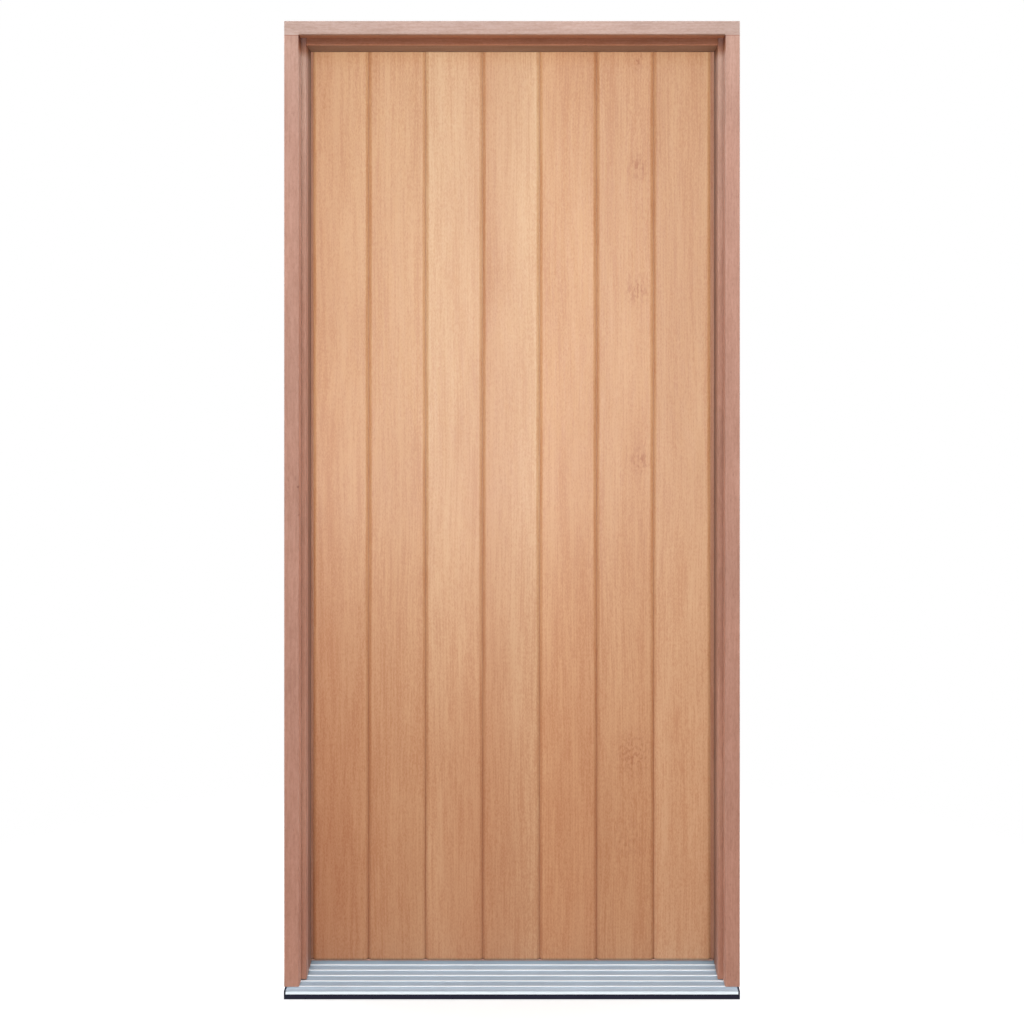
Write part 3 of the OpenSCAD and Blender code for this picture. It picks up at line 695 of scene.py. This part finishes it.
# Board: the outline across gives x and depth, the run of heights gives z, over outline point and row
def layBoard(name, number, showsBack, cut):
    low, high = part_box(name)
    left = low.x
    right = high.x - cut["tongueLength"]
    outline = boardOutline(left, right, high.y - low.y, cut)
    heights, pull = easedRun(low.z, high.z, cut["endEase"], cut["endSteps"], cut["alongGap"])

    # Pull the outline in along its normals at the eased ends
    run = np.roll(outline, -1, 0) - np.roll(outline, 1, 0)
    inward = np.stack([-run[:, 1], run[:, 0]], 1) / np.linalg.norm(run, axis=1)[:, None]
    rings = outline[None] + pull[:, None, None] * inward[None]

    # The show face is a shallow crown with a slow ripple, both only ever pressed inwards
    across = (outline[:, 0] - left) / (right - left) * 2 - 1
    runX, runZ = cut["rippleRun"]
    cycles = outline[:, 0][None] / runX + heights[:, None] / runZ + number * cut["rippleStep"]
    wave = np.sin(2 * math.pi * cycles)
    shown = (outline[:, 1] < cut["faceDepth"])[None]
    pressed = cut["crown"] * across[None] ** 2 + cut["ripple"] * (1 + wave)
    depth = rings[..., 1] + np.where(shown, pressed, 0)

    y = high.y - depth if showsBack else low.y + depth
    z = np.broadcast_to(heights[:, None], y.shape)
    points = np.stack([rings[..., 0], y, z], -1)
    faces = ringFaces(len(heights), len(outline), True)
    # How deep each point lies in a V joint, which the finish turns into painted shade
    seams = np.clip(rings[..., 1] / cut["chamfer"][1], 0, 1)
    atStrip = across[None] * cut["stripSide"].get(number, 0) > cut["stripEdge"]
    seams = np.where(atStrip, seams ** cut["stripPower"], seams)

    stepX, stepY, stepZ = cut["grainStep"]
    shift = cut["backShift"] if showsBack else 0.0
    offset = (stepX * number + shift, stepY * number, stepZ * number)
    smudges = () if showsBack else boardSmudges.get(number, ())
    sideLight = {"axis": "X", "stops": tuple(zip((left, right), boardSideLight[number]))}
    fades = (footFade(boardFootShading[number]), sideLight)
    tone = boardTones[number]
    finish = woodFinish(name + "_wood", plankLook, grainAlongZ, offset, tone, smudges, fades, True)
    addPiece(name.replace("board", "plank"), points, faces, finish, "leaf_wood", "door_leaf", name, seams)


for number in boardTones:
    layBoard(f"front_board_{number}", number, False, boardCut)
    layBoard(f"back_board_{number}", number, True, boardCut)
print("door: boards laid:", 2 * len(boardTones))

# Countersunk screws: a flat head with a cross recess, a plain neck and a right-hand thread down to the tip
screwCut = {
    "columns": 40,
    "topRows": 15,
    "rim": 0.0002,
    "rimBreak": 0.3,
    "recessDepth": 0.0021,
    "recessWing": 0.00062,
    "recessReach": 0.62,
    "recessSoft": 0.0004,
    "recessRise": 0.45,
    "rowsPerTurn": 6,
    "ridgePower": 1.5,
    "startTurns": 2,
    "coreShare": 0.68,
    "tipShare": 2.5,
    "tipPower": 0.8,
}
hingeScrew = {"head": 0.0090, "shank": 0.0046, "length": 0.026, "pitch": 0.0020, "plain": 0.10}
headScrew = {"head": 0.0100, "shank": 0.0050, "length": 0.095, "pitch": 0.0030, "plain": 0.34}
sillScrew = {**headScrew, "length": 0.070}
capScrew = {**headScrew, "length": 0.028, "plain": 0.20, "count": 5}


# Screw surface as radius and height over turn and row: the cross is where x or y is small on the flat top,
# and the thread is a ridge whose crest runs where height over pitch less turn is a half over a whole number
def screwSurface(size, cut):
    turn = np.linspace(0, 2 * math.pi, cut["columns"], endpoint=False)[None]
    headR = size["head"] / 2
    shankR = size["shank"] / 2
    tip = shankR * cut["tipShare"]
    topR = np.linspace(0, headR - cut["rim"], cut["topRows"])[:, None]
    thin = np.minimum(np.abs(topR * np.cos(turn)), np.abs(topR * np.sin(turn)))
    long = np.maximum(np.abs(topR * np.cos(turn)), np.abs(topR * np.sin(turn)))
    reach = headR * cut["recessReach"]
    wing = np.clip((cut["recessWing"] - thin) / cut["recessSoft"] + 0.5, 0, 1)
    ends = np.clip((reach - long) / cut["recessSoft"] + 0.5, 0, 1)
    topZ = -cut["recessDepth"] * wing * ends * (1 - cut["recessRise"] * long / reach)

    neck = -cut["rim"] - (headR - shankR)
    shankEnd = -size["length"] + tip
    plainEnd = neck + (shankEnd - neck) * size["plain"]
    turns = (plainEnd + size["length"]) / size["pitch"]
    threadZ = np.linspace(plainEnd, -size["length"], int(turns * cut["rowsPerTurn"]))[:, None]
    phase = np.mod(threadZ / size["pitch"] - turn / (2 * math.pi), 1)
    ridge = (1 - np.abs(2 * phase - 1)) ** cut["ridgePower"]
    grown = np.clip((plainEnd - threadZ) / (cut["startTurns"] * size["pitch"]), 0, 1)
    core = shankR * (1 - (1 - cut["coreShare"]) * grown)
    taper = np.clip((threadZ + size["length"]) / tip, 0, 1) ** cut["tipPower"]
    threadR = (core + (shankR - core) * ridge) * taper

    sideR = np.array([headR, headR, shankR, shankR])[:, None]
    sideZ = np.array([-cut["rimBreak"] * cut["rim"], -cut["rim"], neck, plainEnd])[:, None]
    blank = np.zeros_like(turn)
    radius = np.vstack([topR + blank, sideR + blank, threadR])
    height = np.vstack([topZ, sideZ + blank, threadZ + blank])
    return np.stack([radius * np.cos(turn), radius * np.sin(turn), height], -1)


# Sets the same screw at each place: its outward way is the third of the three directions that carry it there
def driveScrews(node, size, places, outward, cut, body):
    one = screwSurface(size, cut)
    rows, columns = one.shape[:2]
    out = np.asarray(outward, float)
    side = np.roll(out, 1)
    carried = one @ np.stack([side, np.cross(out, side), out])
    points = np.asarray(places, float)[:, None, None] + carried[None]
    quads = np.asarray(ringFaces(rows, columns, False))
    faces = (quads[None] + np.arange(len(places))[:, None, None] * rows * columns).reshape(-1, 4)
    addPiece(node + "_cut", points, faces.tolist(), finishes["screwSteel"], "screw", body, node)


def gridPlaces(xs, ys, zs):
    return np.stack(np.meshgrid(xs, ys, zs, indexing="ij"), -1).reshape(-1, 3)


hingeNames = ("top", "middle", "bottom")
hingeRows = {"end": 0.0133, "gap": 0.011, "count": 4}


# Places of one side's hinge screws: two staggered rows on every plate, from the plates' own boxes
def hingeScrewPlaces(side, faceX):
    leafLow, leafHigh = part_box("latch_edge_strip")
    middle = (leafLow.y + leafHigh.y) / 2
    step = np.arange(hingeRows["count"])
    places = []
    for name in hingeNames:
        low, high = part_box(f"{name}_hinge_{side}_plate")
        z = low.z + hingeRows["end"] + step / step[-1] * (high.z - low.z - 2 * hingeRows["end"])
        y = middle + hingeRows["gap"] * (step % 2 - 0.5)
        places.append(np.stack([np.full(len(step), faceX), y, z], -1))
    return np.concatenate(places)


def driveAllScrews():
    places = hingeScrewPlaces("jamb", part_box("hinge_jamb_screws")[1].x)
    driveScrews("hinge_jamb_screws", hingeScrew, places, (1, 0, 0), screwCut, "frame")
    places = hingeScrewPlaces("leaf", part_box("hinge_leaf_screws")[0].x)
    driveScrews("hinge_leaf_screws", hingeScrew, places, (-1, 0, 0), screwCut, "door_leaf")

    edge = headScrew["head"] / 2
    low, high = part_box("head_screws")
    places = gridPlaces((low.x + edge, high.x - edge), (low.y + edge, high.y - edge), (high.z,))
    driveScrews("head_screws", headScrew, places, (0, 0, 1), screwCut, "frame")
    low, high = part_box("sill_screws")
    places = gridPlaces((low.x + edge, high.x - edge), (low.y + edge, high.y - edge), (low.z,))
    driveScrews("sill_screws", sillScrew, places, (0, 0, -1), screwCut, "frame")
    low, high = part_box("cap_screws")
    row = np.linspace(low.x + edge, high.x - edge, capScrew["count"])
    places = gridPlaces(row, ((low.y + high.y) / 2,), (high.z,))
    driveScrews("cap_screws", capScrew, places, (0, 0, 1), screwCut, "frame")


driveAllScrews()
print("door: screws driven")

# Hinge pins with button ends
pinCut = {"columns": 48, "buttonRows": 12, "buttonPower": 0.8, "buttonH": 0.0035, "shaftR": 0.0035}


# Pin turned round its axis: half an oval button, the straight shaft, and the other button
def turnPin(name, cut):
    low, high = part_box(name)
    middle = (np.array(low) + np.array(high)) / 2
    buttonR = (high.x - low.x) / 2
    swing = np.linspace(0, math.pi / 2, cut["buttonRows"])
    radius = np.concatenate([buttonR * np.sin(swing) ** cut["buttonPower"], [cut["shaftR"]]])
    rise = np.concatenate([cut["buttonH"] * (1 - np.cos(swing) ** cut["buttonPower"]), [cut["buttonH"]]])
    rows = np.concatenate([low.z + rise, (high.z - rise)[::-1]])[:, None]
    radius = np.concatenate([radius, radius[::-1]])[:, None]
    turn = np.linspace(0, 2 * math.pi, cut["columns"], endpoint=False)[None]
    x = middle[0] + radius * np.cos(turn)
    y = middle[1] + radius * np.sin(turn)
    points = np.stack([x, y, rows + np.zeros_like(turn)], -1)
    faces = ringFaces(len(rows), cut["columns"], False)
    addPiece(name + "_turned", points, faces, finishes["hingeSteel"], "hinge", "frame", name)


for place in hingeNames:
    turnPin(f"{place}_hinge_pin", pinCut)
print("door: hinge pins turned")

# Machined pieces keep their CAD form: a merged copy with its sharp edges broken by a small bevel
bevelCut = {"segments": 2, "sharpDeg": 40}


def breakEdges(node, finish, slotName, body, width):
    copy = nodes[node].data.copy()
    copy.name = node + "_eased"
    piece = settle(copy.name, copy, finish, slotName, body, node, meshCut["machinedDeg"], True)
    bevel = piece.modifiers.new("brokenEdges", "BEVEL")
    bevel.width = width
    bevel.segments = bevelCut["segments"]
    bevel.limit_method = "ANGLE"
    bevel.angle_limit = math.radians(bevelCut["sharpDeg"])
    bevel.harden_normals = True


# Finish, slot, body and bevel width of each machined piece
dressed = {
    "hinge_jamb": ("hingeJambWood", "frame_wood", "frame", 0.0006),
    "latch_jamb": ("latchJambWood", "frame_wood", "frame", 0.0006),
    "head_jamb": ("headWood", "frame_wood", "frame", 0.0006),
    "sill_cap": ("capWood", "frame_wood", "frame", 0.0004),
    "sill_base": ("baseComposite", "sill_base", "frame", 0.0004),
    "sill_deck": ("deckMetal", "sill_metal", "frame", 0.0002),
    "hinge_edge_strip": ("stripWood", "leaf_wood", "door_leaf", 0.0003),
    "latch_edge_strip": ("stripWood", "leaf_wood", "door_leaf", 0.0003),
    "hinge_side_seal": ("sealRubber", "seal", "frame", 0.0002),
    "latch_side_seal": ("sealRubber", "seal", "frame", 0.0002),
    "head_seal": ("sealRubber", "seal", "frame", 0.0002),
    "door_sweep": ("sweepVinyl", "sweep", "door_leaf", 0.0002),
}
for place in hingeNames:
    dressed[f"{place}_hinge_jamb_plate"] = ("hingeSteel", "hinge", "frame", 0.0003)
    dressed[f"{place}_hinge_leaf_plate"] = ("hingeSteel", "hinge", "door_leaf", 0.0003)
for node, (finishName, slotName, body, width) in dressed.items():
    breakEdges(node, finishes[finishName], slotName, body, width)
print("door: edges broken on", len(dressed), "pieces")


# Inner wood of the leaf stays as CAD solids
def dressNode(node, finish):
    nodes[node].data.materials.clear()
    nodes[node].data.materials.append(finish)
    lampGroups.setdefault("core_wood", []).append(nodes[node])


for node in ("hinge_stile", "latch_stile", "core_infill"):
    dressNode(node, finishes["stileWood"])
for node in ("top_rail", "bottom_rail"):
    dressNode(node, finishes["railWood"])
print("door: inner wood dressed")

# Pale floor that fades into the white surroundings
floorCut = {
    "radius": 3.0,
    "rings": 24,
    "columns": 72,
    "fade": (0.6, 1.8),
    "colour": (0.50, 0.50, 0.50, 1.0),
    "rough": 0.9,
    "glow": 0.80,
    "glowColour": (1.0, 1.0, 1.0, 1.0),
}


# Disc: reach times the cosine and the sine of the turn, over turn and ring
def layFloor(cut):
    turn = np.linspace(0, 2 * math.pi, cut["columns"], endpoint=False)[None]
    reach = np.linspace(0, cut["radius"], cut["rings"])[:, None]
    points = np.stack([reach * np.cos(turn), reach * np.sin(turn), np.zeros_like(reach * turn)], -1)
    mesh = bpy.data.meshes.new("floor")
    mesh.from_pydata(points.reshape(-1, 3).tolist(), [], ringFaces(cut["rings"], cut["columns"], False))
    floor = bpy.data.objects.new("floor", mesh)
    floor.visible_diffuse = False
    scene.collection.objects.link(floor)
    finish, tree, shader, place = newFinish("paleFloor")
    far = vector(tree, "LENGTH", place).outputs["Value"]
    clear = addNode(tree, "BsdfTransparent").outputs[0]
    share = rescale(tree, far, *cut["fade"], 0.0, 1.0)
    mixed = addNode(tree, "MixShader", {0: share, 1: shader.outputs[0], 2: clear}).outputs[0]
    tree.links.new(mixed, tree.nodes["Material Output"].inputs[0])
    shader.inputs["Base Color"].default_value = cut["colour"]
    shader.inputs["Roughness"].default_value = cut["rough"]
    shader.inputs["Emission Color"].default_value = cut["glowColour"]
    shader.inputs["Emission Strength"].default_value = cut["glow"]
    mesh.materials.append(finish)


layFloor(floorCut)

# Soft studio light in a dim surround. A lamp with "lights" reaches only those slots and nodes, and only its
# "shades", or else the pieces that it lights, throw shadows in it
leafSlots = ("leaf_wood", "core_wood", "sweep")
frameSlots = ("frame_wood", "sill_metal", "sill_base", "seal", "hinge", "screw")
jambGroups = ("hinge_jamb", "latch_jamb", "hinge_side_seal", "latch_side_seal")
headGroups = ("head_jamb", "head_seal", "sill_cap", "sill_metal", "sill_base", "hinge", "screw")
overhead = {"place": (0.0, -2.31, 4.83), "aim": (0.0, 0.0, 1.60), "size": (4.05, 2.0), "watts": 55.3,
            "spread": 50}
glint = {"size": (0.25, 0.25), "watts": 1.0, "spread": 60, "lights": leafSlots}
across = {"size": (0.8, 1.6), "watts": 18, "spread": 180, "colour": (0.70, 0.86, 1.0)}
sideways = {"aim": (0.0, 0.1, 1.00), "size": (1.2, 1.6), "watts": 18, "spread": 110}
studio = {
    "below": 0.16,
    "above": 0.30,
    "horizon": (-0.35, 0.35),
    "surround": (1.0, 1.0, 1.0, 1.0),
    "backdrop": (1.0, 1.0, 1.0, 1.0),
    "lamps": {
        # A large soft box in front for the leaf, and the overhead lamp twice, so that the head shades no jamb
        "softBox": {"place": (0.05, -2.49, 1.80), "aim": (0.0, 0.09, 1.90), "size": (1.8, 2.0), "watts": 25.8,
                    "spread": 105, "lights": leafSlots + ("sill_metal",)},
        "overHead": {**overhead, "lights": headGroups, "shades": frameSlots},
        "overJambs": {**overhead, "lights": jambGroups},
        # Warm light from below for the head and from the ground in front, and two small glints on the boards
        "underHead": {"place": (0.0, -1.50, 0.15), "aim": (0.0, 0.0, 2.06), "size": (0.9, 0.3), "watts": 3.0,
                      "spread": 60, "colour": (1.0, 0.56, 0.32), "lights": ("head_jamb", "head_seal")},
        "bounce": {"place": (0.0, -1.30, 0.08), "aim": (0.0, 0.0, 0.10), "size": (2.0, 0.6), "watts": 2.6,
                   "spread": 140, "colour": (1.0, 0.42, 0.20), "lights": leafSlots + ("frame_wood", "seal")},
        "glintRight": {**glint, "place": (0.01, -2.90, 0.87), "aim": (0.0, 0.0, 1.07)},
        "glintLeft": {**glint, "place": (-0.79, -2.90, 0.87), "aim": (-0.37, 0.0, 1.07)},
        # A cool lamp across the opening for each jamb, and three lamps for the other sides of the door
        "acrossLeft": {**across, "place": (2.4, -0.45, 1.60), "aim": (-0.46, 0.04, 1.40),
                       "lights": ("hinge_jamb", "hinge_side_seal")},
        "acrossRight": {**across, "place": (-2.4, -0.45, 1.60), "aim": (0.46, 0.04, 1.40),
                        "lights": ("latch_jamb", "latch_side_seal")},
        "behind": {"place": (0.3, 2.60, 2.40), "aim": (0.0, 0.1, 1.10), "size": (1.8, 1.0), "watts": 24,
                   "spread": 100},
        "leftSide": {**sideways, "place": (-2.6, 0.60, 1.90)},
        "rightSide": {**sideways, "place": (2.6, 0.60, 1.90)},
    },
}


def gather(name, groups):
    made = bpy.data.collections.new(name)
    for group in groups:
        for piece in lampGroups[group]:
            made.objects.link(piece)
    return made


def lightStudio(studio):
    world = bpy.data.worlds.new("studio")
    world.use_nodes = True
    scene.world = world
    tree = world.node_tree
    seen = addNode(tree, "LightPath").outputs["Is Camera Ray"]
    rise = axisOf(tree, addNode(tree, "TexCoord").outputs["Generated"], "Z")
    glow = rescale(tree, rise, *studio["horizon"], studio["below"], studio["above"])
    surround = addNode(tree, "Background", {0: studio["surround"], 1: glow}).outputs[0]
    backdrop = addNode(tree, "Background", {0: studio["backdrop"]}).outputs[0]
    mixed = addNode(tree, "MixShader", {0: seen, 1: surround, 2: backdrop}).outputs[0]
    tree.links.new(mixed, tree.nodes["World Output"].inputs[0])
    for name, lamp in studio["lamps"].items():
        data = bpy.data.lights.new(name, "AREA")
        data.shape = "RECTANGLE"
        data.size, data.size_y = lamp["size"]
        data.energy = lamp["watts"]
        data.spread = math.radians(lamp["spread"])
        data.color = lamp.get("colour", (1.0, 1.0, 1.0))
        made = bpy.data.objects.new(name, data)
        made.location = lamp["place"]
        x, y, z = np.array(lamp["aim"]) - np.array(lamp["place"])
        made.rotation_euler = (math.atan2(math.hypot(x, y), -z), 0, math.atan2(-x, y))
        made.visible_camera = False
        scene.collection.objects.link(made)
        if "lights" in lamp:
            shades = lamp.get("shades", lamp["lights"])
            made.light_linking.receiver_collection = gather(name + "Lit", lamp["lights"])
            made.light_linking.blocker_collection = gather(name + "Shades", shades)


lightStudio(studio)
print("door: studio lit")
